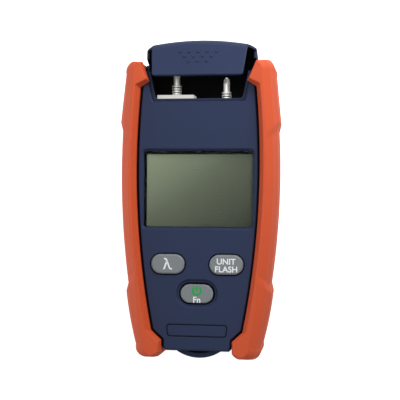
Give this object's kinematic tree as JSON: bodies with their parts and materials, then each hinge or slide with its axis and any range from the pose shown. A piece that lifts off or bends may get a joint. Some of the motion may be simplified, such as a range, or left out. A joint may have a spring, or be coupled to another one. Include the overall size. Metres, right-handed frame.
{
  "type": "optical power meter",
  "caption": "Handheld fibre optic power meter with side grips, a display, press keys and a hinged dust lid over its ports.",
  "frame": {"origin": "on the flat back that it rests on, on the centre line, 5 mm below the middle of the display as seen from the front", "axes": "+Z out of the front face, +Y along the length towards the ports, +X to the right seen from the front"},
  "size_m": [0.0768, 0.1531, 0.0347],
  "materials": {
    "navy_shell": "fine moulded grain, satin",
    "orange_grip": "soft matte moulding",
    "grey_key": "smooth satin",
    "black_plastic": "matt black moulding",
    "white_plastic": "smooth white moulding",
    "chrome_metal": "turned and plated",
    "steel": "plain zinc plated",
    "clear_window": "clear flat window",
    "lcd_face": "blank grey-green display",
    "board_green": "solder mask",
    "cell_wrap": "plain sleeve"
  },
  "bodies": {
    "housing": {"front_cover": "navy_shell", "rear_cover": "navy_shell", "grip_left": "orange_grip", "grip_right": "orange_grip", "lid_pin_left": "steel", "lid_pin_right": "steel", "port_panel": "black_plastic", "adapter_flange": "white_plastic", "adapter_nut": "chrome_metal", "port_sleeve": "chrome_metal", "detector": "steel", "second_port_nut": "chrome_metal", "second_port_tip": "chrome_metal", "screen_window": "clear_window", "lcd_module": "lcd_face", "lcd_frame": "black_plastic", "main_board": "board_green", "key_domes": "steel", "battery_cells": "cell_wrap", "battery_contacts": "steel", "housing_screws": "steel", "board_screws": "steel", "flange_screws": "steel"},
    "lid": {"port_lid": "navy_shell"},
    "wavelength_key": {"key_wavelength": "grey_key"},
    "unit_key": {"key_unit": "grey_key"},
    "power_key": {"key_power": "grey_key"},
    "door": {"battery_door": "navy_shell"}
  },
  "joints": [
    {"name": "lid_hinge", "type": "hinge", "parent": "housing", "child": "lid", "pos_m": [0, 0.0642, 0.008], "axis": [-1, 0, 0], "range_deg": [-25.3, 100]},
    {"name": "wavelength_press", "type": "slide", "parent": "housing", "child": "wavelength_key", "axis": [0, 0, -1], "range_m": [0, 0.0008], "stiffness_N_per_m": 1500},
    {"name": "unit_press", "type": "slide", "parent": "housing", "child": "unit_key", "axis": [0, 0, -1], "range_m": [0, 0.0008], "stiffness_N_per_m": 1500},
    {"name": "power_press", "type": "slide", "parent": "housing", "child": "power_key", "axis": [0, 0, -1], "range_m": [0, 0.0008], "stiffness_N_per_m": 1500},
    {"name": "door_slide", "type": "slide", "parent": "housing", "child": "door", "axis": [0, -1, 0], "range_m": [0, 0.055]}
  ]
}
